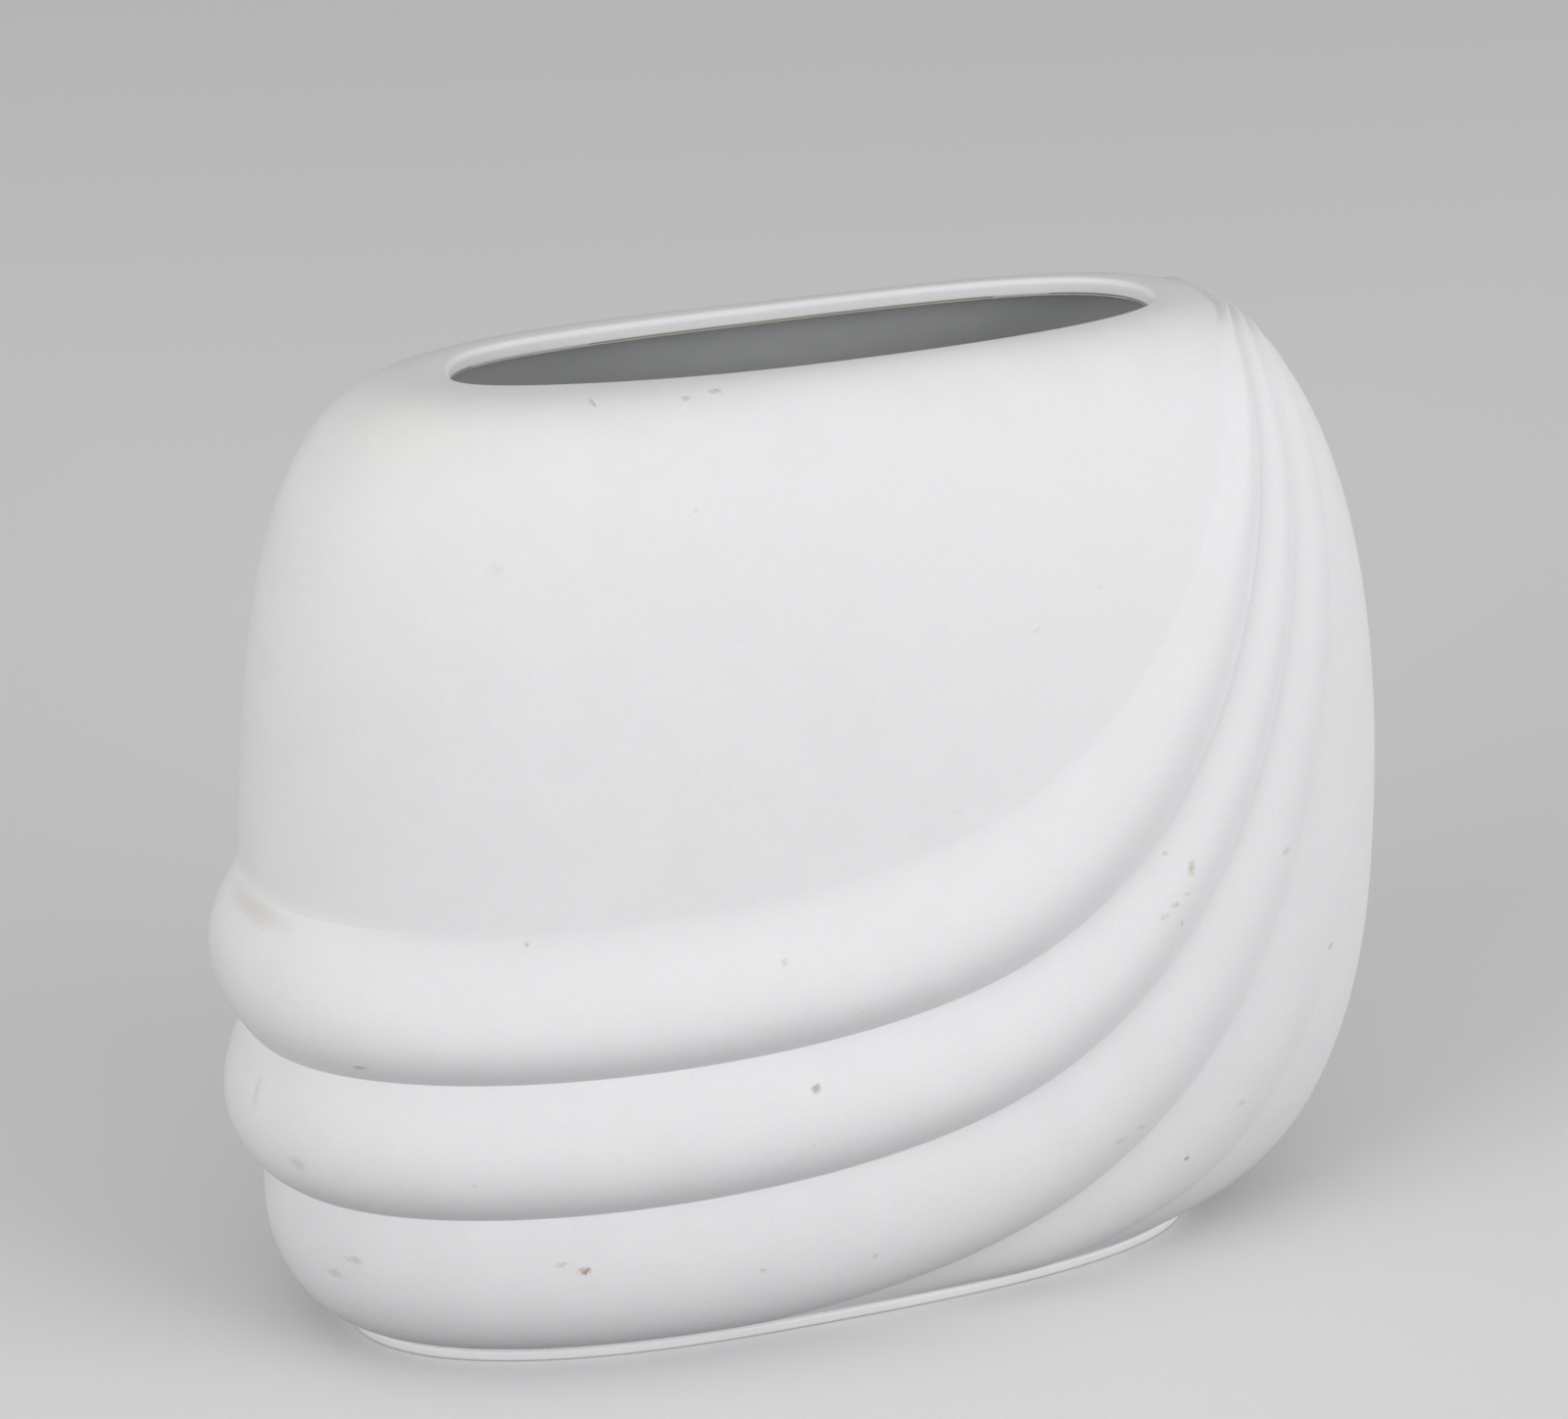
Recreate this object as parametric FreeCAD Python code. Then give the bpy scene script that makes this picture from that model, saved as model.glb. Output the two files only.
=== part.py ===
import FreeCAD, Part
import math
import os

# Overall sizes, in millimetres, with the middle of the width at X 0 and the table at Z 0
height = 225.0
belly_height = 90.0

# Half sizes of the belly, where the plain wall is widest, to the left, right and front
belly_left = 130.6
belly_right = 137.4
belly_depth = 56.0

# Half sizes of the mouth
mouth_left = 85.1
mouth_right = 81.9
mouth_depth = 18.1

# Half sizes and height of the foot, and how far it stands out past the wall above it
foot_left = 108.1
foot_right = 95.6
foot_depth = 38.0
foot_height = 2.5
foot_ledge = 0.8
foot_ring_width = 7.0
foot_chamfer = 0.5

# Thicknesses of the casting and of the glaze that lines it
wall = 4.2
floor = 5.5
lip_round = 1.3
glaze = 0.4

# How far the folds swell out of the wall at the left end and at the right
fold_left = 7.0
fold_right = 1.3

# Plain numbers of the form: the powers of its rounded curves
shoulder_power = 2.58
shoulder_lean = 0.4
shoulder_dip = 0.45
skirt_power = 2.25
skirt_lean = 0.15
undercut_power = 6.5
undercut_lean = 2.5
undercut_share = 0.4
oval_power = 2.63
mouth_power = 2.15
pointing_power = 4
oval_lean = 0.32

# The top edge of the first fold and the four creases below it
# Heights are shares of the vase's height, measured up the wall and over the shoulder
low_shares = [0.504, 0.344, 0.19, -0.007, -0.036]
top_shares = [1.204, 1.173, 1.129, 1.093, 1.031]

# Where each one has risen half way, as a share of the half turn from right to left, and how steeply
half_way_shares = [0.306, 0.288, 0.274, 0.251, 0.201]
rise_powers = [5.7, 6.0, 5.6, 4.9, 5.8]

# Where the middle of each line falls as a share of the half turn, and how evenly its ends are spread
middle_shares = [0.404, 0.322, 0.282, 0.237, 0.185]
even_share = 0.15

# How full each fold is, how far its crest drops, and where the folds flatten towards the right end
fold_shares = [1.0, 0.92, 0.83, 0.7]
crest_drop_shares = [0.0, 0.45, 0.4, 0.4]
blend_turn_shares = [0.72, 0.97]
flatten_turn_shares = [0.2, 0.53]

# The last two creases run out along the foot, this far above it and apart, in a curve of this size
# Between them the last fold narrows to nothing, and it has its full height where it is this wide
seat_step = 0.3
seat_curve = 0.8
full_width = 26.0

# How finely the curves are set out
columns = 96
fold_steps = 7
panel_steps = 14
skirt_steps = 14
lining_steps = 16
lip_steps = 5
foot_columns = 48
turn_step = 0.001
girth_step_share = 0.0002

half_turn = math.pi
quarter_turn = half_turn / 2
shoulder_rise = height - belly_height
rim_girth = belly_height + shoulder_rise * quarter_turn


def round_off(turn, power):
    """Turns a circle into a rounded oval, which is fuller the higher the power is."""
    return (abs(math.cos(turn)) ** power + abs(math.sin(turn)) ** power) ** (-1 / power)


def ease(share):
    """Goes smoothly from 0 to 1."""
    held = min(max(share, 0.0), 1.0)
    return held * held * (3 - 2 * held)


def oval(turn, left, right, depth, level, power=oval_power):
    """A point of a rounded oval at one level, where turn 0 is its right end and the front is at -Y."""
    swell = round_off(turn, power + oval_lean * math.cos(turn))
    middle = (right - left) / 2
    reach = (right + left) / 2 * swell * math.cos(turn)
    return FreeCAD.Vector(middle + reach, -depth * swell * math.sin(turn), level)


def plain_wall(turn, girth, lip):
    """The wall without folds. Girth runs up the wall and over the shoulder, to the rim of the lip.
    Its ovals get more pointed towards the mouth."""
    if girth >= belly_height:
        climb = min((girth - belly_height) / shoulder_rise, quarter_turn)
        dip = shoulder_dip * math.sin(turn) ** 4
        bulge = round_off(climb, shoulder_power - shoulder_lean * math.cos(turn) - dip)
        level = belly_height + shoulder_rise * bulge * math.sin(climb)
        fullness = bulge * math.cos(climb)
        ends = (mouth_left + lip, mouth_right + lip, mouth_depth + lip)
        power = oval_power + (mouth_power - oval_power) * (1 - fullness) ** pointing_power
    else:
        drop = (belly_height - girth) / (belly_height - foot_height)
        level = girth
        skirt = drop ** (skirt_power + skirt_lean * math.cos(turn))
        undercut = drop ** (undercut_power + undercut_lean * math.cos(turn))
        fullness = 1 - skirt + undercut_share * (skirt - undercut)
        ends = (foot_left - foot_ledge, foot_right - foot_ledge, foot_depth - foot_ledge)
        power = oval_power
    wide = (belly_left, belly_right, belly_depth)
    left, right, depth = [end + (side - end) * fullness for end, side in zip(ends, wide)]
    return oval(turn, left, right, depth, level, power)


def outward(turn, girth, lip):
    """The direction square to the plain wall, pointing out of the vase. At the rim it is straight up."""
    if girth >= rim_girth:
        return FreeCAD.Vector(0, 0, 1)
    girth_step = height * girth_step_share
    upper = min(girth + girth_step, rim_girth)
    along = plain_wall(turn + turn_step, girth, lip) - plain_wall(turn - turn_step, girth, lip)
    up = plain_wall(turn, upper, lip) - plain_wall(turn, girth - girth_step, lip)
    return up.cross(along).normalize()


def offset_wall(turn, girth, lip, distance):
    return plain_wall(turn, girth, lip) + outward(turn, girth, lip) * distance


def line_turn(line, place):
    """The turn of a point of a line, where place runs from 0 at the right end to 1 at the left."""
    spread = (middle_shares[line] - even_share / 2) / (1 - even_share)
    power = math.log(spread) / math.log(0.5)
    share = even_share * abs(place) + (1 - even_share) * abs(place) ** power
    return math.copysign(half_turn * share, place)


def line_girth(line, turn):
    """Each line lies level round the left end, and climbs over the shoulder at the right."""
    low = height * low_shares[line]
    top = height * top_shares[line]
    odds = (abs(turn) / (half_turn * half_way_shares[line])) ** rise_powers[line]
    girth = low + (top - low) / (1 + odds)
    if low > 0:
        return girth
    seat = foot_height + seat_step * (len(low_shares) - line)
    over = girth - seat
    return seat + (over + math.hypot(over, seat_curve)) / 2


def fold_height(fold, turn, across, width):
    """A fold is an arch from crease to crease. The first one leaves the panel in a soft curve, and the last
    one dies out where it narrows."""
    flat_from, flat_to = [half_turn * share for share in flatten_turn_shares]
    tall = fold_right + (fold_left - fold_right) * ease((abs(turn) - flat_from) / (flat_to - flat_from))
    skew = crest_drop_shares[fold]
    if fold == 0:
        soft_from, soft_to = [half_turn * share for share in blend_turn_shares]
        skew = 1 - (1 - skew) * ease((abs(turn) - soft_from) / (soft_to - soft_from))
    if fold == len(fold_shares) - 1:
        tall = tall * ease(width / full_width)
    arch = 4 * across * (1 - across) * (1 + skew * (2 * across - 1)) * (1 - skew / 6)
    return fold_shares[fold] * tall * arch


def places(count):
    return [2 * index / count - 1 for index in range(count)]


def closed_curve(points):
    curve = Part.BSplineCurve()
    curve.interpolate(Points=points, PeriodicFlag=True, Parameters=[float(i) for i in range(len(points) + 1)])
    return curve


def skin(rows):
    """A smooth closed band through rows of points, each row a ring round the vase."""
    rings = [closed_curve(row) for row in rows]
    poles = []
    for column in zip(*[ring.getPoles() for ring in rings]):
        rib = Part.BSplineCurve()
        rib.interpolate(Points=list(column), Parameters=[float(i) for i in range(len(rows))])
        poles.append(rib.getPoles())
    surface = Part.BSplineSurface()
    surface.buildFromPolesMultsKnots(
        poles, rings[0].getMultiplicities(), rib.getMultiplicities(),
        rings[0].getKnots(), rib.getKnots(), True, False, rings[0].Degree, rib.Degree)
    return surface.toShape()


def lid(*rows):
    """A flat face inside a level ring of points, round the hole that a second ring makes."""
    wires = [Part.Wire(closed_curve(row).toShape()) for row in rows]
    return Part.makeFace(wires, "Part::FaceMakerBullseye")


def panel_rows():
    """From the rim down to the top edge of the first fold."""
    rows = []
    for step in range(panel_steps + 1):
        row = []
        for place in places(columns):
            turn = line_turn(0, place)
            edge = line_girth(0, turn)
            girth = rim_girth + (edge - rim_girth) * step / panel_steps
            row.append(plain_wall(turn, girth, lip_round))
        rows.append(row)
    return rows


def fold_rows(fold):
    """From one line to the next, swelling out between them."""
    rows = []
    for step in range(fold_steps + 1):
        across = step / fold_steps
        row = []
        for place in places(columns):
            upper = line_turn(fold, place)
            lower = line_turn(fold + 1, place)
            turn = upper + (lower - upper) * across
            upper_girth = line_girth(fold, upper)
            width = upper_girth - line_girth(fold + 1, lower)
            swell = fold_height(fold, turn, across, width)
            row.append(offset_wall(turn, upper_girth - width * across, lip_round, swell))
        rows.append(row)
    return rows


def skirt_rows():
    """From the last crease down to the top of the foot."""
    rows = []
    last = len(low_shares) - 1
    for step in range(skirt_steps + 1):
        row = []
        for place in places(columns):
            turn = line_turn(last, place)
            crease = line_girth(last, turn)
            girth = crease + (foot_height - crease) * step / skirt_steps
            row.append(plain_wall(turn, girth, lip_round))
        rows.append(row)
    return rows


def mouth_row(widening, level):
    turns = [line_turn(0, place) for place in places(columns)]
    sizes = [size + widening for size in (mouth_left, mouth_right, mouth_depth)]
    return [oval(turn, *sizes, level, mouth_power) for turn in turns]


def lip_rows():
    """The rounded edge of the lip, from the shoulder over into the mouth."""
    rows = []
    for step in range(lip_steps + 1):
        angle = quarter_turn * step / lip_steps
        rows.append(mouth_row(lip_round * (1 - math.sin(angle)), height - lip_round * (1 - math.cos(angle))))
    return rows


def girth_at_level(turn, inset, level):
    """How far up the plain wall its inner side, inset by so much, comes to a level."""
    low, high = 0.0, belly_height
    for _ in range(40):
        girth = (low + high) / 2
        if offset_wall(turn, girth, 0.0, -inset).z < level:
            low = girth
        else:
            high = girth
    return low


def inner_rows(inset, level):
    """The hollow's side, parallel to the plain wall, from its floor up to the mouth."""
    rows = [[] for _ in range(lining_steps + 1)]
    for place in places(columns):
        turn = line_turn(0, place)
        start = girth_at_level(turn, inset, level)
        for step, row in enumerate(rows):
            girth = start + (rim_girth - start) * step / lining_steps
            row.append(offset_wall(turn, girth, 0.0, -inset))
    return rows


def solid_of(faces):
    shell = Part.Compound(faces)
    shell.sewShape(wall / 1000)
    solid = Part.Solid(shell.Shells[0])
    if solid.Volume < 0:
        solid.reverse()
    return solid


def foot_row(widening, level):
    turns = [half_turn * place for place in places(foot_columns)]
    sizes = [size + widening for size in (foot_left, foot_right, foot_depth)]
    return [oval(turn, *sizes, level) for turn in turns]


def foot_ring():
    """An oval ring with its lower outer edge cut back a little."""
    outline = [foot_row(-foot_chamfer, 0.0), foot_row(0.0, foot_chamfer), foot_row(0.0, foot_height)]
    hole = [foot_row(-foot_ring_width, 0.0), foot_row(-foot_ring_width, foot_height)]
    sides = [skin(outline[:2]), skin(outline[1:]), skin(hole)]
    return solid_of(sides + [lid(outline[0], hole[0]), lid(outline[-1], hole[-1])])


def vase_body():
    """The casting: a folded outer skin, the lip, and a smooth hollow above the floor."""
    inner = inner_rows(wall, foot_height + floor)
    skirt = skirt_rows()
    faces = [skin(panel_rows())]
    faces += [skin(fold_rows(fold)) for fold in range(len(fold_shares))]
    faces += [skin(skirt), lid(skirt[-1])]
    faces += [skin(lip_rows()), skin([mouth_row(0.0, height - lip_round), mouth_row(0.0, height - wall)])]
    faces += [skin(inner), lid(inner[0])]
    return solid_of(faces)


def inner_glaze():
    floor_level = foot_height + floor
    outer = inner_rows(wall, floor_level)
    inner = inner_rows(wall + glaze, floor_level + glaze)
    edge = skin([mouth_row(0.0, height - wall), mouth_row(0.0, height - wall - glaze)])
    return solid_of([skin(outer), lid(outer[0]), skin(inner), lid(inner[0]), edge])


os.makedirs("parts", exist_ok=True)
nodes = {"vase_body": vase_body(), "foot_ring": foot_ring(), "inner_glaze": inner_glaze()}
for name, shape in nodes.items():
    box = shape.BoundBox
    print(name, shape.isValid(), len(shape.Solids), round(shape.Volume / 1000, 1), "cm3",
          [round(v, 2) for v in (box.XMin, box.XMax, box.YMin, box.YMax, box.ZMin, box.ZMax)])
    shape.exportStep("parts/" + name + ".step")
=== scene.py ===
import math

import bpy
import numpy as np
from mathutils import Matrix, Vector


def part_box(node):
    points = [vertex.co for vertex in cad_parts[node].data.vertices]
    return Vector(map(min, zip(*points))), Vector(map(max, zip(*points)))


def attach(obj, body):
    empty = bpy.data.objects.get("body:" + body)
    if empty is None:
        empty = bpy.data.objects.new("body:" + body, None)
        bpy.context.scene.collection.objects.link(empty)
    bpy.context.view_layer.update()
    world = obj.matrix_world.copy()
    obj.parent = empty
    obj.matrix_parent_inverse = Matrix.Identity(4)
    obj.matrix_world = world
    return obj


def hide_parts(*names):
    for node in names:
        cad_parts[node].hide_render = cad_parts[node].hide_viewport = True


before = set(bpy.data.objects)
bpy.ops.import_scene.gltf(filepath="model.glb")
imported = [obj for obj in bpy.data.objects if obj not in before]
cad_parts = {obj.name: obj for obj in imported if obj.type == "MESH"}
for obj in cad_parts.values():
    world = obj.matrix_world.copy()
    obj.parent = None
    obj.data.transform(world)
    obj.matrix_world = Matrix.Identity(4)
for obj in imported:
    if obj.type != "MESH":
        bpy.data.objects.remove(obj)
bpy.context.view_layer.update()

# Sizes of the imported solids. The vase's sizes are in millimetres, and the stage's are in metres
MM = 0.001
body_low, body_high = [np.array(corner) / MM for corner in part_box("vase_body")]
foot_low, foot_high = [np.array(corner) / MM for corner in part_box("foot_ring")]
HEIGHT = body_high[2]
FOOT_HEIGHT = body_low[2]
FOOT_SIZES = (-foot_low[0], foot_high[0], foot_high[1])

# Half sizes to the left, to the right and to the front. Behind, the mouth is a little deeper
BELLY_SIZES = (130.6, 137.4, 56.0)
MOUTH_SIZES = (82.6, 81.9, 18.1)
MOUTH_BACK_DEPTH = 19.2

# Other sizes of the vessel. Over the last stretch of girth below the rim, the wall thins
BELLY_HEIGHT = 90.0
WALL = 4.2
THINNING, THINNING_GIRTH = 0.6, 15.0
HOLLOW_FLOOR = 5.5
LIP_ROUND = 1.3
GLAZE = 0.4
FOOT_LEDGE = 0.8
FOOT_RING_WIDTH = 7.0
FOOT_ROUND = 0.6

# Powers of the rounded curves. A lean is how far a power changes from the middle to the ends of the vase,
# and the dip how far the shoulder's falls towards the middle of its front and back
SHOULDER_POWER, SHOULDER_LEAN, SHOULDER_DIP = 2.58, 0.4, 0.45
SKIRT_POWER, SKIRT_LEAN = 2.25, 0.15
UNDERCUT_POWER, UNDERCUT_LEAN, UNDERCUT_SHARE = 6.5, 2.5, 0.4
OVAL_POWER, OVAL_LEAN = 2.63, 0.32

# Powers of the mouth's oval in front and behind, what its left tip adds to them, and the powers with which
# the wall comes to it. A fade is the turn's sine at which the back is all there, or the tip's addition gone
MOUTH_POWER = 2.15
BACK_POWER, BACK_LEAN, BACK_FADE = 3.1, -0.55, 0.8
TIP_POWER, TIP_FADE = 0.35, 0.9
FRONT_POINTING, BACK_POINTING = 4, 10

# The top edge of the first fold and the four creases: lowest and highest girth as shares of the height,
# the turn of half height as a share of the half turn, and the power of the rise
LOW_SHARES = (0.504, 0.344, 0.19, -0.007, -0.036)
TOP_SHARES = (1.204, 1.173, 1.129, 1.093, 1.031)
HALF_WAY_SHARES = (0.306, 0.288, 0.274, 0.251, 0.201)
RISE_POWERS = (5.7, 6.0, 5.6, 4.9, 5.8)

# The turn of the column halfway from end to end on each line, as a share of the half turn, and how much of
# a turn goes evenly with the column's place
MIDDLE_SHARES = (0.404, 0.322, 0.282, 0.237, 0.185)
EVEN_SHARE = 0.15

# How high the folds swell at the left end and over the right shoulder, each fold's share of that height,
# and how far its crest drops
FOLD_LEFT, FOLD_RIGHT = 7.0, 1.3
FOLD_SHARES = (1.0, 0.92, 0.83, 0.7)
CREST_DROP_SHARES = (0.0, 0.45, 0.4, 0.4)

# Between these shares of the half turn, from right to left, the first fold's soft top turns into a crease,
# and the folds get their height
BLEND_TURN_SHARES = (0.72, 0.97)
FLATTEN_TURN_SHARES = (0.2, 0.53)

# The lines' steps along the foot, their bend on to it, and the last fold's width where it has its height
SEAT_STEP, SEAT_CURVE, FULL_WIDTH = 0.3, 0.8, 26.0

# Rows and columns of the grids, rings of a disc, steps for the normals, and halvings of a range
COLUMNS, FOOT_COLUMNS = 384, 320
PANEL_ROWS, FOLD_ROWS, SKIRT_ROWS = 64, 22, 30
LIP_ROWS, BAND_ROWS, HOLLOW_ROWS, ROUND_ROWS = 8, 4, 44, 6
DISC_SHARES = (0.3, 0.6, 0.85)
TURN_STEP, GIRTH_STEP = 0.001, 0.045
HALVINGS = 30

# Colours of the bare porcelain, of its warmer clouds, its flecks and its foot's greyer bottom edge, of the
# porcelain under glaze, and of the brown line on both sides of the glaze's edge
BISQUE = (0.80, 0.80, 0.815)
WARM_BISQUE = (0.79, 0.775, 0.745)
FLECK = (0.36, 0.34, 0.31)
FOOT_GREY = (0.45, 0.44, 0.41)
GLAZED = (0.92, 0.93, 0.935)
LINE_ON_BISQUE = (0.27, 0.23, 0.14)
LINE_ON_GLAZE = (0.24, 0.21, 0.13)

# Waves to a metre of each pattern
CLOUD_SCALE, PATCH_SCALE, DIMPLE_SCALE, GRAIN_SCALE, FLECK_SCALE = 14.0, 70.0, 210.0, 2600.0, 95.0
POOL_SCALE, RIPPLE_SCALE = 45.0, 120.0

# Relief, from its valleys to its peaks
DIMPLE_DEPTH, GRAIN_DEPTH, RIPPLE_DEPTH = 0.06, 0.022, 0.15

# The span of a noise's values that is eased, and what comes of it at its two ends
MOST_VALUES = (0.3, 0.7)
CLOUD_VALUES, CLOUD_SHARES = (0.5, 0.75), (0.0, 0.14)
PATCH_SHADES, GRAIN_SHADES, POOL_SHADES = (0.986, 1.01), (0.975, 1.015), (0.96, 1.02)
BISQUE_ROUGHNESS, GLAZE_ROUGHNESS, BISQUE_GLOSS = (0.56, 0.68), (0.06, 0.12), 0.3

# The random values of the cells that hold a fleck, its reach from a cell's middle, where a cell is 1 wide,
# and how strongly it shows
FLECK_CELLS, FLECK_REACH, FLECK_SHARES = (0.93, 0.95), (0.03, 0.075), (0.22, 0.0)

# The brown line: the width of its bell curve, the oval that holds it as a share of the mouth's, and how
# strongly it shows. On the glaze it is eased in over a height below the edge
LINE_WIDTH, LINE_OVAL_SHARE = 0.4, 1.15
LINE_VALUES, LINE_SHARES = (0.1, 1.0), (0.0, 0.75)
GLAZE_LINE_WIDTH, GLAZE_LINE_SHARES = 1.4, (0.0, 0.8)

# The foot's bottom edge, greyer towards the table: how high the grey reaches, and how strongly it shows
FOOT_GREY_HEIGHT, FOOT_GREY_SHARES = 1.0, (0.35, 0.0)

# Raggedness of flecks, of marks and of level edges: waves to a metre, and reach
FLECK_SHAKE, MARK_SHAKE, EDGE_SHAKE = (900.0, 1.6), (800.0, 2.4), (500.0, 0.6)

# Colours of what has stained the porcelain
STAINS = {
    "grey": (0.36, 0.36, 0.36),
    "tan": (0.50, 0.38, 0.22),
    "olive": (0.34, 0.34, 0.19),
    "rust": (0.34, 0.17, 0.10),
    "pink": (0.50, 0.40, 0.39),
    "beige": (0.64, 0.59, 0.50),
    "cream": (0.78, 0.75, 0.66),
}

# Each mark's middle, its half sizes along X, Y and Z, its stain and how strongly it shows. Marks fade out
# between two shares of their half sizes
MARK_FADE_SHARES = (0.1, 1.1)
MARKS = (
    ((-59, -23, 224), (0.8, 3, 0.8), "tan", 0.6),
    ((-39, -26, 224), (1.5, 1, 2), "grey", 0.45),
    ((-32, -25, 224), (1.8, 1, 2), "grey", 0.5),
    ((-86, -38, 195), (2.4, 4, 2.4), "grey", 0.12),
    ((50, -49, 176), (1.3, 4, 1.0), "grey", 0.2),
    ((34, -51, 169), (1.6, 4, 1.0), "grey", 0.2),
    ((14, -55, 131), (2.2, 4, 0.8), "grey", 0.14),
    ((-83, -47, 112), (0.9, 4, 0.9), "tan", 0.6),
    ((-28, -59, 104), (1.2, 4, 0.9), "tan", 0.35),
    ((-117, -35, 83), (2.0, 4, 0.9), "olive", 0.6),
    ((-20, -59, 72), (1.7, 4, 1.3), "olive", 0.7),
    ((-133, -10, 68), (3, 1.2, 6), "pink", 0.3),
    ((-128, -24, 56), (3, 3, 2.2), "grey", 0.3),
    ((-116, -26, 31), (2.6, 4, 1.2), "rust", 0.25),
    ((-119, -22, 26), (2.4, 4, 1.4), "grey", 0.3),
    ((-75, -47, 33), (2.2, 4, 0.8), "pink", 0.45),
    ((-70, -49, 31), (1.9, 4, 1.0), "rust", 0.8),
    ((-30, -54, 26), (1.3, 4, 0.8), "pink", 0.5),
    ((-3, -55, 25), (1.2, 4, 0.9), "pink", 0.5),
    ((65, -54, 113), (0.8, 4, 0.8), "grey", 0.5),
    ((71, -56, 109), (1.3, 4, 2.2), "tan", 0.6),
    ((64, -57, 99), (1.6, 4, 0.8), "grey", 0.35),
    ((67, -57, 101), (1.6, 4, 0.8), "grey", 0.4),
    ((70, -56, 103), (1.6, 4, 0.8), "grey", 0.3),
    ((69, -56, 96), (0.7, 4, 0.7), "grey", 0.5),
    ((98, -49, 106), (1.8, 4, 1.2), "grey", 0.3),
    ((115, -41, 76), (1.2, 4, 1.2), "olive", 0.5),
    ((77, -48, 32), (1.2, 4, 0.9), "rust", 0.6),
    ((91, -47, 43), (1.4, 4, 1.2), "grey", 0.35),
    ((57, -54, 43), (2.6, 4, 0.8), "grey", 0.3),
    ((62, -54, 45), (2.6, 4, 0.8), "grey", 0.3),
    ((-131, -8, 111.2), (9, 18, 3.4), "beige", 0.5),
    ((-98, -12, 220), (40, 36, 20), "cream", 0.22),
)

# The floor's half width, and its paper's colour as it throws light and as it is seen
FLOOR_REACH = 20.0
PAPER_LIT = (0.16, 0.16, 0.165)
PAPER_SEEN = (0.86, 0.86, 0.87)
PAPER_ROUGHNESS = 0.9

# The strength of the light from all round, as it shines and as it is seen. Then the softboxes: each one's
# place, width, height and watts. All of them are aimed at the vase's middle
ROOM_STRENGTHS = (0.395, 0.62)
SOFTBOXES = {
    "top_lamp": ((-0.1, -0.25, 1.45), 0.9, 0.9, 1.0),
    "left_lamp": ((-2.1, -0.98, 0.73), 1.2, 1.2, 29),
    "right_lamp": ((1.5, -1.78, 0.58), 2.0, 1.2, 36),
}
VASE_MIDDLE = Vector((0, 0, 0.11))

# The photograph's view: degrees round from the front, up and of roll, the distance and the point aimed at,
# and the sensor's width and the lens in millimetres
CAMERA_ROUND, CAMERA_UP, CAMERA_ROLL = -22.5, 23.1, 0.9
CAMERA_DISTANCE, CAMERA_AIM = 1.317, Vector((-0.0046, 0, 0.1362))
CAMERA_SENSOR, CAMERA_LENS = 36, 135

# The shoulder's rise, the rim's girth and the level of the glaze's edge
SHOULDER_RISE = HEIGHT - BELLY_HEIGHT
RIM_GIRTH = BELLY_HEIGHT + SHOULDER_RISE * math.pi / 2
GLAZE_TOP = HEIGHT - WALL + THINNING

# Each column's place: 0 at the right end, rising over the front to 1 at the left end
PLACES = np.linspace(-1, 1, COLUMNS, endpoint=False)


# The form of the vase. A girth is a height up to the belly, and above it a way along the shoulder's curve
def round_off(turn, power):
    """The factor on a circle's radius that makes a rounded oval: one over the p-norm of cosine and sine."""
    return (np.abs(np.cos(turn)) ** power + np.abs(np.sin(turn)) ** power) ** (-1 / power)


def ease(share):
    """3 s squared minus 2 s cubed, which goes smoothly from 0 to 1."""
    held = np.clip(share, 0, 1)
    return held * held * (3 - 2 * held)


def behind(turn):
    """0 in front of the middle plane, and behind it eased to 1 as the turn's sine falls."""
    return ease(-np.sin(turn) / BACK_FADE)


def mouth_power(turn):
    """The power of the mouth's oval, which is higher behind, for a fuller edge, and round the left tip."""
    back = BACK_POWER + BACK_LEAN * np.cos(turn)
    tip = TIP_POWER * ease(-np.cos(turn)) * (1 - ease(np.abs(np.sin(turn)) / TIP_FADE))
    return MOUTH_POWER + (back - MOUTH_POWER) * behind(turn) + tip


def mouth_sizes(turn):
    """The mouth's half sizes, with a depth of its own behind the middle plane."""
    left, right, depth = MOUTH_SIZES
    return left, right, np.where(np.sin(turn) < 0, MOUTH_BACK_DEPTH, depth)


def oval(turn, sizes, level, power=OVAL_POWER):
    """A rounded oval at one level: turn 0 is its right end, a quarter turn its front, at -Y."""
    left, right, depth = sizes
    swell = round_off(turn, power + OVAL_LEAN * np.cos(turn))
    x = (right - left) / 2 + (right + left) / 2 * swell * np.cos(turn)
    y = -depth * swell * np.sin(turn)
    return np.stack(np.broadcast_arrays(x, y, level), axis=-1)


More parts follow.
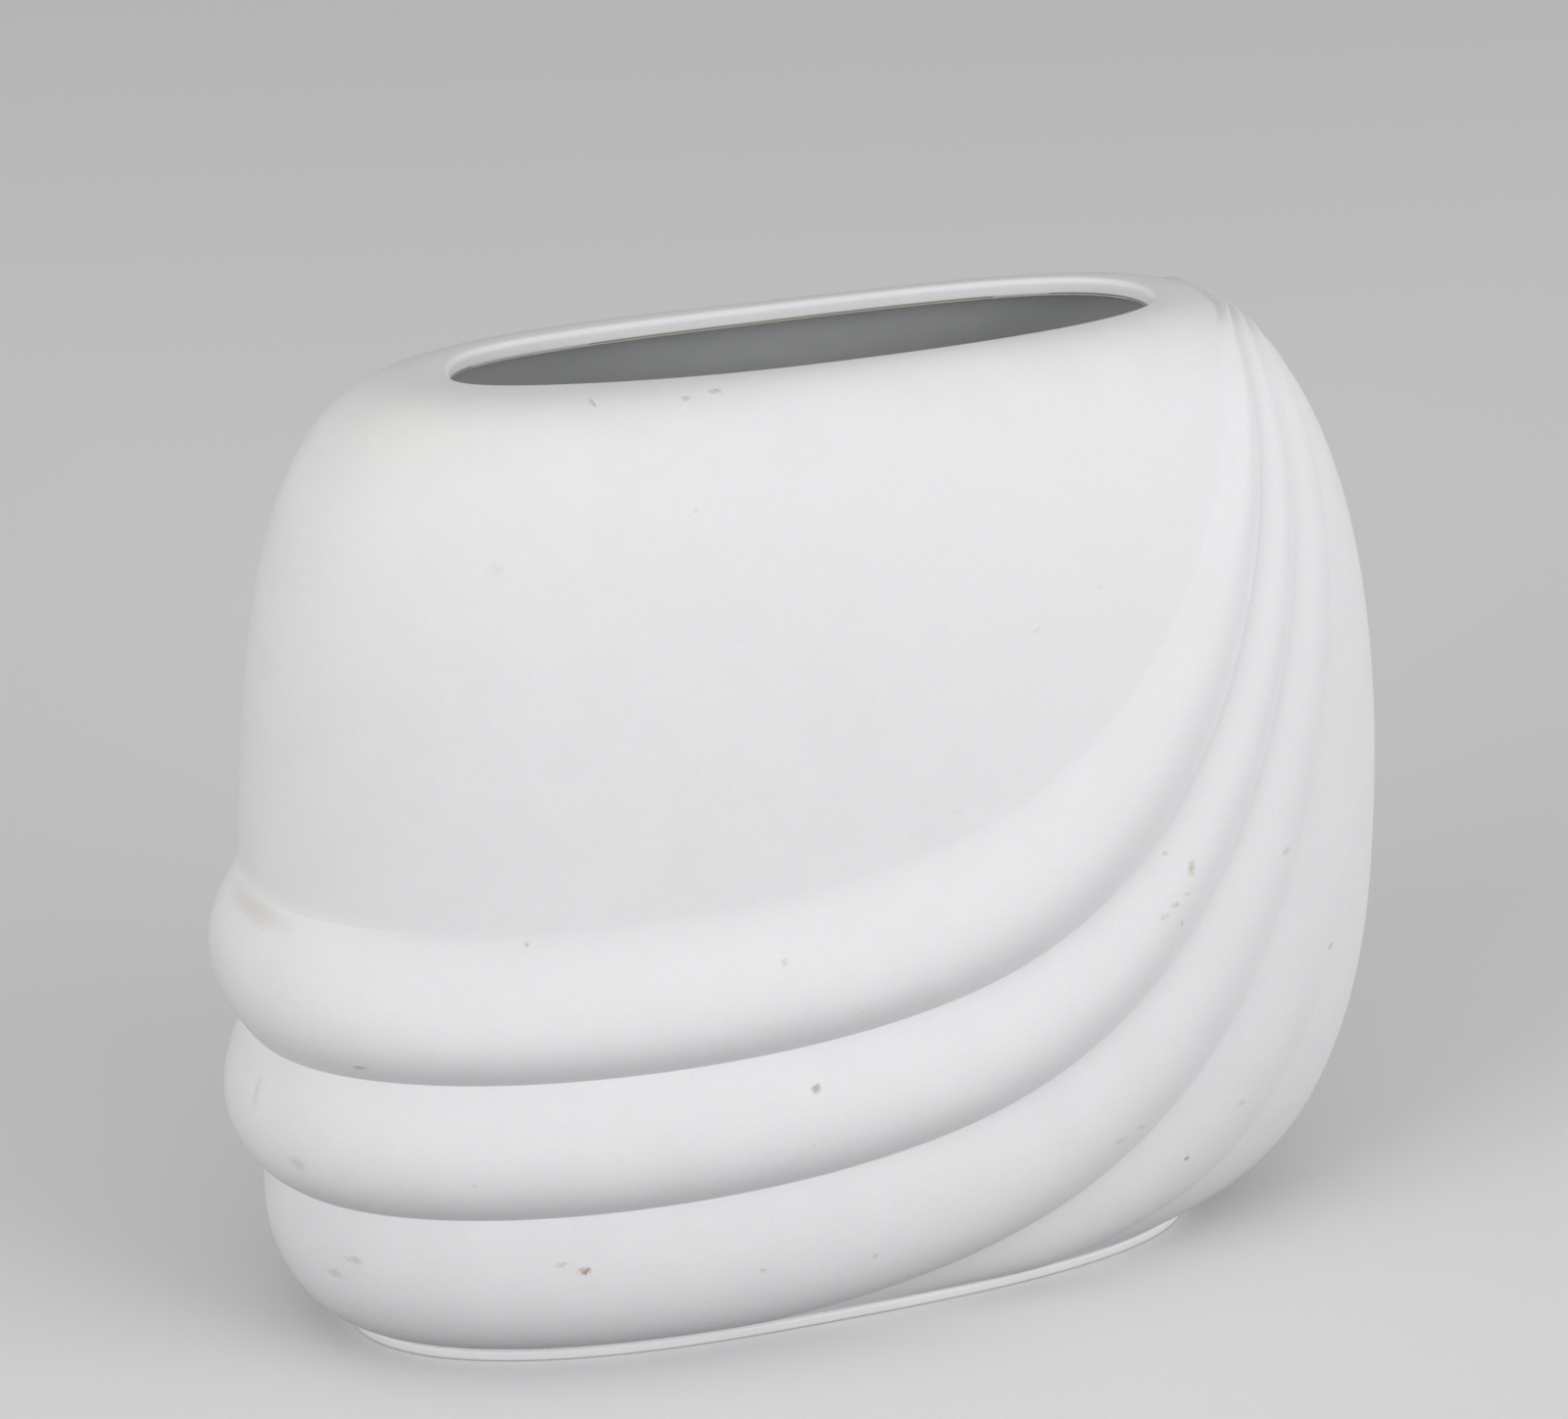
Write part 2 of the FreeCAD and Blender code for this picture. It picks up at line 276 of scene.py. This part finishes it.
def plain_wall(turn, girth, lip):
    """The wall without folds. From the belly up, half size and level are the cosine and sine of a rounded
    quarter oval, less full at the front and back, and the ovals take on the mouth's shape with a power of
    the way there, up to a lip's width outside it. Below the belly, the half size shrinks with a low and a
    high power of the drop from it."""
    turn, girth = np.broadcast_arrays(turn, girth)
    climb = np.clip((girth - BELLY_HEIGHT) / SHOULDER_RISE, 0, math.pi / 2)
    shoulder_power = SHOULDER_POWER - SHOULDER_LEAN * np.cos(turn) - SHOULDER_DIP * np.sin(turn) ** 4
    bulge = round_off(climb, shoulder_power)
    drop = np.clip((BELLY_HEIGHT - girth) / (BELLY_HEIGHT - FOOT_HEIGHT), 0, None)
    skirt = drop ** (SKIRT_POWER + SKIRT_LEAN * np.cos(turn))
    undercut = drop ** (UNDERCUT_POWER + UNDERCUT_LEAN * np.cos(turn))
    upper = girth >= BELLY_HEIGHT
    level = np.where(upper, BELLY_HEIGHT + SHOULDER_RISE * bulge * np.sin(climb), girth)
    fullness = np.where(upper, bulge * np.cos(climb), 1 - skirt + UNDERCUT_SHARE * (skirt - undercut))
    sizes = []
    for wide, mouth, foot in zip(BELLY_SIZES, mouth_sizes(turn), FOOT_SIZES):
        end = np.where(upper, mouth + lip, foot - FOOT_LEDGE)
        sizes.append(end + (wide - end) * fullness)
    pointing = (1 - fullness) ** (FRONT_POINTING + (BACK_POINTING - FRONT_POINTING) * behind(turn))
    power = np.where(upper, OVAL_POWER + (mouth_power(turn) - OVAL_POWER) * pointing, OVAL_POWER)
    return oval(turn, sizes, level, power)


def outward(turn, girth, lip):
    """Unit normals of the plain wall: the cross product of a small step up and a small step round it, and
    straight up at the rim."""
    turn, girth = np.broadcast_arrays(turn, girth)
    along = plain_wall(turn + TURN_STEP, girth, lip) - plain_wall(turn - TURN_STEP, girth, lip)
    above = plain_wall(turn, np.minimum(girth + GIRTH_STEP, RIM_GIRTH), lip)
    normal = np.cross(above - plain_wall(turn, girth - GIRTH_STEP, lip), along)
    normal /= np.linalg.norm(normal, axis=-1, keepdims=True)
    return np.where((girth >= RIM_GIRTH - GIRTH_STEP)[..., None], (0.0, 0.0, 1.0), normal)


def offset_wall(turn, girth, lip, distance):
    """The plain wall moved along its normals."""
    return plain_wall(turn, girth, lip) + outward(turn, girth, lip) * np.asarray(distance)[..., None]


# The lines between the folds
def line_turn(line):
    """The turn of each column on a line: a mix of its place and a power of that, the one which takes the
    column halfway from end to end to the line's middle share."""
    spread = (MIDDLE_SHARES[line] - EVEN_SHARE / 2) / (1 - EVEN_SHARE)
    power = math.log(spread) / math.log(0.5)
    share = EVEN_SHARE * np.abs(PLACES) + (1 - EVEN_SHARE) * np.abs(PLACES) ** power
    return np.copysign(math.pi * share, PLACES)


def line_girth(line, turn):
    """The girth of a line: level round the left end, and rising to the right as one over one plus a power
    of the turn. Lines that come down to the foot run out along it, on one arm of a hyperbola."""
    low, top = HEIGHT * LOW_SHARES[line], HEIGHT * TOP_SHARES[line]
    half_way = math.pi * HALF_WAY_SHARES[line]
    girth = low + (top - low) / (1 + (np.abs(turn) / half_way) ** RISE_POWERS[line])
    if low > 0:
        return girth
    seat = FOOT_HEIGHT + SEAT_STEP * (len(LOW_SHARES) - line)
    return seat + (girth - seat + np.hypot(girth - seat, SEAT_CURVE)) / 2


def fold_height(fold, turn, across, width):
    """An arch, 4 s (1 - s), whose crest is moved down by a skew. The first fold leaves the panel softly,
    and the last one dies out where it narrows."""
    flat_from, flat_to = [math.pi * share for share in FLATTEN_TURN_SHARES]
    tall = FOLD_RIGHT + (FOLD_LEFT - FOLD_RIGHT) * ease((np.abs(turn) - flat_from) / (flat_to - flat_from))
    skew = CREST_DROP_SHARES[fold]
    if fold == 0:
        soft_from, soft_to = [math.pi * share for share in BLEND_TURN_SHARES]
        skew = 1 - (1 - skew) * ease((np.abs(turn) - soft_from) / (soft_to - soft_from))
    if fold == len(FOLD_SHARES) - 1:
        tall = tall * ease(width / FULL_WIDTH)
    arch = 4 * across * (1 - across) * (1 + skew * (2 * across - 1)) * (1 - skew / 6)
    return FOLD_SHARES[fold] * tall * arch


# Rows of points. Each has an axis of rows, an axis of columns and an axis of X, Y and Z
def shares(count):
    """Even steps from 0 to 1, one to a row."""
    return np.linspace(0, 1, count + 1)[:, None]


def panel_points():
    """From the rim down to the first fold."""
    turn = line_turn(0)
    edge = line_girth(0, turn)
    return plain_wall(turn, RIM_GIRTH + (edge - RIM_GIRTH) * shares(PANEL_ROWS), LIP_ROUND)


def fold_points(fold):
    """From one line to the next. The rows crowd towards both, to keep them crisp: each one's share of the
    way is half of one minus the cosine."""
    across = (1 - np.cos(math.pi * shares(FOLD_ROWS))) / 2
    upper, lower = line_turn(fold), line_turn(fold + 1)
    turn = upper + (lower - upper) * across
    width = line_girth(fold, upper) - line_girth(fold + 1, lower)
    girth = line_girth(fold, upper) - width * across
    return offset_wall(turn, girth, LIP_ROUND, fold_height(fold, turn, across, width))


def skirt_points():
    """From the last crease down to the top of the foot."""
    turn = line_turn(len(LOW_SHARES) - 1)
    crease = line_girth(len(LOW_SHARES) - 1, turn)
    return plain_wall(turn, crease + (FOOT_HEIGHT - crease) * shares(SKIRT_ROWS), LIP_ROUND)


def mouth_points(widening, level):
    """The mouth's oval, widened, at each level."""
    turn = line_turn(0)
    return oval(turn, [size + widening for size in mouth_sizes(turn)], level, mouth_power(turn))


def lip_points():
    """A quarter circle from the mouth's side over to the shoulder."""
    angle = math.pi / 2 * (1 - shares(LIP_ROWS))
    return mouth_points(LIP_ROUND * (1 - np.sin(angle)), HEIGHT - LIP_ROUND * (1 - np.cos(angle)))


def band_points():
    """The upright side of the mouth, from the glaze up to the lip's rounding."""
    return mouth_points(0, GLAZE_TOP + (HEIGHT - LIP_ROUND - GLAZE_TOP) * shares(BAND_ROWS))


def hollow_points(inset):
    """The side of the hollow, parallel to the plain wall, from its floor up to the mouth. Its inset is
    eased down towards the rim. The lowest girth comes from halving its range until the point lies on the
    floor."""
    floor_level = FOOT_HEIGHT + HOLLOW_FLOOR + inset - WALL
    turn = line_turn(0)
    low, high = np.zeros_like(turn), np.full_like(turn, BELLY_HEIGHT)
    for _ in range(HALVINGS):
        middle = (low + high) / 2
        under = offset_wall(turn, middle, 0, np.full_like(turn, -inset))[:, 2] < floor_level
        low, high = np.where(under, middle, low), np.where(under, high, middle)
    girth = low + (RIM_GIRTH - low) * shares(HOLLOW_ROWS)
    thinning = THINNING * ease(1 - (RIM_GIRTH - girth) / THINNING_GIRTH)
    return offset_wall(turn, girth, 0, thinning - inset)


def disc_points(ring, level):
    """Rings inside a ring, each at a share of its size, to close it towards a middle point."""
    flat = ring * (1, 1, 0)
    middle = flat.mean(axis=0)
    inner = [middle + (flat - middle) * share for share in DISC_SHARES]
    return np.stack(inner) + (0, 0, level)


def folded_wall_points():
    """The whole casting as one grid, from the middle of the hollow's floor to that of the underside."""
    hollow = hollow_points(WALL)
    parts = [disc_points(hollow[0], hollow[0, 0, 2]), hollow, band_points()[1:], lip_points()[1:]]
    parts.append(panel_points()[1:])
    parts += [fold_points(fold)[1:] for fold in range(len(FOLD_SHARES))]
    skirt = skirt_points()[1:]
    parts += [skirt, disc_points(skirt[-1], FOOT_HEIGHT)[::-1]]
    return np.concatenate(parts)


def lining_points():
    """The glaze coat: its back, which lies on the hollow, then its face."""
    back, face = hollow_points(WALL), hollow_points(WALL + GLAZE)[::-1]
    parts = [disc_points(back[0], back[0, 0, 2]), back, face, disc_points(face[-1], face[-1, 0, 2])[::-1]]
    return np.concatenate(parts)[::-1]


def foot_points():
    """The foot's section, a flat bar, carried round the oval. Its outer edges are quarter circles: one
    minus sine closes in on one side as one minus cosine leaves the other."""
    angle = np.linspace(0, math.pi / 2, ROUND_ROWS)
    closing, leaving = FOOT_ROUND * (1 - np.sin(angle)), FOOT_ROUND * (1 - np.cos(angle))
    inset = np.concatenate([closing, leaving, [FOOT_RING_WIDTH, FOOT_RING_WIDTH]])[:, None]
    level = np.concatenate([FOOT_HEIGHT - leaving, closing, [0.0, FOOT_HEIGHT]])[:, None]
    turn = np.linspace(-math.pi, math.pi, FOOT_COLUMNS, endpoint=False)
    return oval(turn, [size - inset for size in FOOT_SIZES], level)


# Meshes
def glaze_edge(corners):
    """How near a corner lies to the glaze's upper edge: a bell curve of its height over the edge, inside an
    oval a little larger than the mouth."""
    left, right, depth = MOUTH_SIZES
    x, y, z = corners.T
    from_middle = np.hypot((2 * x + left - right) / (left + right), y / depth)
    return np.where(from_middle < LINE_OVAL_SHARE, np.exp(-((z - GLAZE_TOP) / LINE_WIDTH) ** 2), 0)


def closed_mesh(name, points, poles):
    """A mesh of a grid of points, closed round its columns. With poles, a middle point closes each end,
    and without them the last row meets the first."""
    rows, columns = points.shape[:2]
    index = np.arange(rows * columns).reshape(rows, columns)
    corners = points.reshape(-1, 3)
    here, below = (index[:-1], index[1:]) if poles else (index, np.roll(index, -1, axis=0))
    quads = np.stack([here, np.roll(here, -1, axis=1), np.roll(below, -1, axis=1), below], axis=-1)
    faces = [quads.ravel()]
    sizes = [np.full(here.size, 4)]
    if poles:
        ends = ((index[0], (0, 2, 1)), (index[-1], (0, 1, 2)))
        for pole, (row, order) in enumerate(ends, start=len(corners)):
            fan = np.stack([row, np.roll(row, -1), np.full(columns, pole)], axis=-1)[:, order]
            faces.append(fan.ravel())
            sizes.append(np.full(columns, 3))
        corners = np.vstack([corners, points[0].mean(axis=0), points[-1].mean(axis=0)])
    sizes = np.concatenate(sizes)
    mesh = bpy.data.meshes.new(name)
    mesh.vertices.add(len(corners))
    mesh.vertices.foreach_set("co", (corners * MM).ravel())
    mesh.loops.add(int(sizes.sum()))
    mesh.loops.foreach_set("vertex_index", np.concatenate(faces))
    mesh.polygons.add(len(sizes))
    mesh.polygons.foreach_set("loop_start", np.cumsum(sizes) - sizes)
    mesh.polygons.foreach_set("use_smooth", np.ones(len(sizes), bool))
    mesh.attributes.new("glaze_edge", "FLOAT", "POINT").data.foreach_set("value", glaze_edge(corners))
    mesh.update(calc_edges=True)
    mesh.validate()
    return mesh


def piece(name, points, poles, material, node):
    """Makes one piece of the vase, which takes the place of a solid."""
    made = bpy.data.objects.new(name, closed_mesh(name, points, poles))
    bpy.context.scene.collection.objects.link(made)
    made.data.materials.append(material)
    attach(made, "root")
    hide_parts(node)


# Nodes of the materials
def add_node(tree, kind, **values):
    """A shader node with its settings and its unlinked inputs."""
    made = tree.nodes.new(kind)
    for key, value in values.items():
        if hasattr(made, key):
            setattr(made, key, value)
        else:
            made.inputs[key.replace("_", " ")].default_value = value
    return made


def new_material(name):
    """A material, its node tree and its shader."""
    material = bpy.data.materials.new(name)
    material.use_nodes = True
    tree = material.node_tree
    return material, tree, tree.nodes["Principled BSDF"]


def noise(tree, place, scale, detail, roughness=0.5):
    """A noise's value at each place."""
    made = add_node(tree, "ShaderNodeTexNoise", Scale=scale, Detail=detail, Roughness=roughness)
    tree.links.new(place, made.inputs["Vector"])
    return made.outputs[0]


def eased(tree, value, span, ends):
    """A value eased over a span, from what it gives at one end to what it gives at the other."""
    made = add_node(tree, "ShaderNodeMapRange", interpolation_type="SMOOTHSTEP", From_Min=span[0],
                    From_Max=span[1], To_Min=ends[0], To_Max=ends[1])
    tree.links.new(value, made.inputs["Value"])
    return made.outputs[0]


def even_colour(tree, colour):
    """One colour all over, for others to be laid on."""
    made = add_node(tree, "ShaderNodeRGB")
    made.outputs[0].default_value = (*colour, 1)
    return made.outputs[0]


def tint(tree, share, colour, other):
    """A colour changed to another by a share."""
    made = add_node(tree, "ShaderNodeMix", data_type="RGBA")
    tree.links.new(share, made.inputs["Factor"])
    tree.links.new(colour, made.inputs["A"])
    made.inputs["B"].default_value = (*other, 1)
    return made.outputs["Result"]


def shade(tree, colour, factor):
    """A colour times a number."""
    made = add_node(tree, "ShaderNodeVectorMath", operation="SCALE")
    tree.links.new(colour, made.inputs[0])
    tree.links.new(factor, made.inputs["Scale"])
    return made.outputs[0]


def worked(tree, operation, place, sizes):
    """Places with a middle subtracted from them, or divided by sizes, in millimetres."""
    made = add_node(tree, "ShaderNodeVectorMath", operation=operation)
    tree.links.new(place, made.inputs[0])
    made.inputs[1].default_value = [MM * size for size in sizes]
    return made.outputs[0]


def shaken(tree, place, shake):
    """Places pushed about by noise, up to half a reach, so that what is drawn on them has ragged edges."""
    scale, reach = shake
    push = add_node(tree, "ShaderNodeTexNoise", Scale=scale, Detail=3.0)
    tree.links.new(place, push.inputs["Vector"])
    made = add_node(tree, "ShaderNodeVectorMath", operation="MULTIPLY_ADD")
    tree.links.new(push.outputs["Color"], made.inputs[0])
    made.inputs[1].default_value = [MM * reach] * 3
    tree.links.new(worked(tree, "SUBTRACT", place, [reach / 2] * 3), made.inputs[2])
    return made.outputs[0]


def ragged_height(tree, place):
    """The height over the table, shaken a little."""
    made = add_node(tree, "ShaderNodeSeparateXYZ")
    tree.links.new(shaken(tree, place, EDGE_SHAKE), made.inputs[0])
    return made.outputs["Z"]


def flecks(tree, place):
    """How strongly small flecks show: a spot in the middle of the few cells with a high random value."""
    cells = add_node(tree, "ShaderNodeTexVoronoi", feature="F1", Scale=FLECK_SCALE, Randomness=1.0)
    tree.links.new(shaken(tree, place, FLECK_SHAKE), cells.inputs["Vector"])
    rare = add_node(tree, "ShaderNodeSeparateColor")
    tree.links.new(cells.outputs["Color"], rare.inputs[0])
    both = add_node(tree, "ShaderNodeMath", operation="MULTIPLY")
    tree.links.new(eased(tree, rare.outputs[0], FLECK_CELLS, (0.0, 1.0)), both.inputs[0])
    tree.links.new(eased(tree, cells.outputs["Distance"], FLECK_REACH, FLECK_SHARES), both.inputs[1])
    return both.outputs[0]


def mark(tree, place, centre, radii, strength):
    """How strongly a small mark shows: its strength, eased to nothing towards the edge of an ellipsoid."""
    far = add_node(tree, "ShaderNodeVectorMath", operation="LENGTH")
    tree.links.new(worked(tree, "DIVIDE", worked(tree, "SUBTRACT", place, centre), radii), far.inputs[0])
    return eased(tree, far.outputs["Value"], MARK_FADE_SHARES, (strength, 0.0))


def bump(tree, shader, heights):
    """Relief from one or more noises, each with its depth."""
    normal = None
    for height, depth in heights:
        made = add_node(tree, "ShaderNodeBump", Strength=1.0, Distance=MM * depth)
        tree.links.new(height, made.inputs["Height"])
        if normal:
            tree.links.new(normal, made.inputs["Normal"])
        normal = made.outputs["Normal"]
    tree.links.new(normal, shader.inputs["Normal"])


def seen_directly(tree):
    """1 for what the camera sees, also in metal and through glass, and 0 for light that falls on things."""
    path = add_node(tree, "ShaderNodeLightPath")
    seen = path.outputs["Is Camera Ray"]
    for ray in ("Is Glossy Ray", "Is Transmission Ray"):
        either = add_node(tree, "ShaderNodeMath", operation="MAXIMUM")
        tree.links.new(seen, either.inputs[0])
        tree.links.new(path.outputs[ray], either.inputs[1])
        seen = either.outputs[0]
    return seen


# Materials
def bisque():
    """Unglazed porcelain: near white and matt, softly mottled, finely grained, with the flecks and scuffs
    that it picks up, a brown line where the glaze stops and a foot that is greyer towards its bottom edge."""
    material, tree, shader = new_material("white_bisque")
    place = add_node(tree, "ShaderNodeTexCoord").outputs["Object"]
    clouds = eased(tree, noise(tree, place, CLOUD_SCALE, detail=2.0), CLOUD_VALUES, CLOUD_SHARES)
    patches = noise(tree, place, PATCH_SCALE, detail=4.0, roughness=0.6)
    grain = noise(tree, place, GRAIN_SCALE, detail=2.0)
    colour = tint(tree, clouds, even_colour(tree, BISQUE), WARM_BISQUE)
    colour = shade(tree, colour, eased(tree, patches, MOST_VALUES, PATCH_SHADES))
    colour = shade(tree, colour, eased(tree, grain, MOST_VALUES, GRAIN_SHADES))
    colour = tint(tree, flecks(tree, place), colour, FLECK)

    ragged = shaken(tree, place, MARK_SHAKE)
    for centre, radii, stain, strength in MARKS:
        colour = tint(tree, mark(tree, ragged, centre, radii, strength), colour, STAINS[stain])

    edge = add_node(tree, "ShaderNodeAttribute", attribute_name="glaze_edge").outputs["Fac"]
    colour = tint(tree, eased(tree, edge, LINE_VALUES, LINE_SHARES), colour, LINE_ON_BISQUE)
    # The lowest millimetre is made greyer, most at the bottom edge
    foot_grey = eased(tree, ragged_height(tree, place), (0.0, MM * FOOT_GREY_HEIGHT), FOOT_GREY_SHARES)
    colour = tint(tree, foot_grey, colour, FOOT_GREY)
    tree.links.new(colour, shader.inputs["Base Color"])

    tree.links.new(eased(tree, patches, MOST_VALUES, BISQUE_ROUGHNESS), shader.inputs["Roughness"])
    shader.inputs["Specular IOR Level"].default_value = BISQUE_GLOSS
    dimples = noise(tree, place, DIMPLE_SCALE, detail=3.0)
    bump(tree, shader, ((dimples, DIMPLE_DEPTH), (grain, GRAIN_DEPTH)))
    return material


def glaze():
    """Clear glaze over porcelain: glossy, a little uneven, with a brown line along its top edge."""
    material, tree, shader = new_material("clear_glaze")
    place = add_node(tree, "ShaderNodeTexCoord").outputs["Object"]
    pools = noise(tree, place, POOL_SCALE, detail=3.0)
    colour = shade(tree, even_colour(tree, GLAZED), eased(tree, pools, MOST_VALUES, POOL_SHADES))
    line_heights = (MM * (GLAZE_TOP - GLAZE_LINE_WIDTH), MM * GLAZE_TOP)
    line = eased(tree, ragged_height(tree, place), line_heights, GLAZE_LINE_SHARES)
    tree.links.new(tint(tree, line, colour, LINE_ON_GLAZE), shader.inputs["Base Color"])
    tree.links.new(eased(tree, pools, MOST_VALUES, GLAZE_ROUGHNESS), shader.inputs["Roughness"])
    bump(tree, shader, ((noise(tree, place, RIPPLE_SCALE, detail=2.0), RIPPLE_DEPTH),))
    return material


def floor_paper():
    """Pale paper. Only the camera, metal and glass see it pale, so that it throws little light up."""
    material, tree, shader = new_material("pale_paper")
    colour = add_node(tree, "ShaderNodeMix", data_type="RGBA")
    colour.inputs["A"].default_value = (*PAPER_LIT, 1)
    colour.inputs["B"].default_value = (*PAPER_SEEN, 1)
    tree.links.new(seen_directly(tree), colour.inputs["Factor"])
    tree.links.new(colour.outputs["Result"], shader.inputs["Base Color"])
    shader.inputs["Roughness"].default_value = PAPER_ROUGHNESS
    shader.inputs["Specular IOR Level"].default_value = 0.0
    return material


# The stage
def make_floor():
    """A square of paper under the vase."""
    corners = [(FLOOR_REACH * x, FLOOR_REACH * y, 0) for x, y in ((-1, -1), (1, -1), (1, 1), (-1, 1))]
    mesh = bpy.data.meshes.new("floor")
    mesh.from_pydata(corners, [], [(0, 1, 2, 3)])
    floor = bpy.data.objects.new("floor", mesh)
    bpy.context.scene.collection.objects.link(floor)
    mesh.materials.append(floor_paper())


def softbox(name, place, width, height, watts):
    """A soft rectangular lamp, turned to the vase."""
    lamp = bpy.data.lights.new(name, "AREA")
    lamp.shape = "RECTANGLE"
    lamp.size, lamp.size_y, lamp.energy = width, height, watts
    made = bpy.data.objects.new(name, lamp)
    made.location = place
    made.rotation_euler = (VASE_MIDDLE - Vector(place)).to_track_quat("-Z", "Y").to_euler()
    bpy.context.scene.collection.objects.link(made)


def make_light():
    """Soft light from all round, which is seen paler than it shines, and the softboxes."""
    world = bpy.data.worlds.new("studio")
    bpy.context.scene.world = world
    world.use_nodes = True
    tree = world.node_tree
    background = tree.nodes["Background"]
    background.inputs["Color"].default_value = (1, 1, 1, 1)
    strength = eased(tree, seen_directly(tree), (0.0, 1.0), ROOM_STRENGTHS)
    tree.links.new(strength, background.inputs["Strength"])
    for name, (place, width, height, watts) in SOFTBOXES.items():
        softbox(name, place, width, height, watts)


def make_camera():
    """The photograph's view: a long lens, a little above the vase and round to its left."""
    around, up, roll = [math.radians(angle) for angle in (CAMERA_ROUND, CAMERA_UP, CAMERA_ROLL)]
    back = Vector((math.sin(around) * math.cos(up), -math.cos(around) * math.cos(up), math.sin(up)))
    level_right = (-back).cross(Vector((0, 0, 1))).normalized()
    level_top = level_right.cross(-back)
    right = math.cos(roll) * level_right + math.sin(roll) * level_top
    top = math.cos(roll) * level_top - math.sin(roll) * level_right
    lens = bpy.data.cameras.new("camera")
    lens.sensor_width, lens.lens = CAMERA_SENSOR, CAMERA_LENS
    camera = bpy.data.objects.new("camera", lens)
    turned = Matrix((right, top, back)).transposed().to_4x4()
    camera.matrix_world = Matrix.Translation(CAMERA_AIM + back * CAMERA_DISTANCE) @ turned
    bpy.context.scene.collection.objects.link(camera)
    bpy.context.scene.camera = camera


# The vase on its stage
bisque_material = bisque()
piece("folded_wall", folded_wall_points(), True, bisque_material, "vase_body")
piece("foot_bar", foot_points(), False, bisque_material, "foot_ring")
piece("glaze_lining", lining_points(), True, glaze(), "inner_glaze")
make_floor()
make_light()
make_camera()
bpy.context.scene.view_settings.view_transform = "Standard"
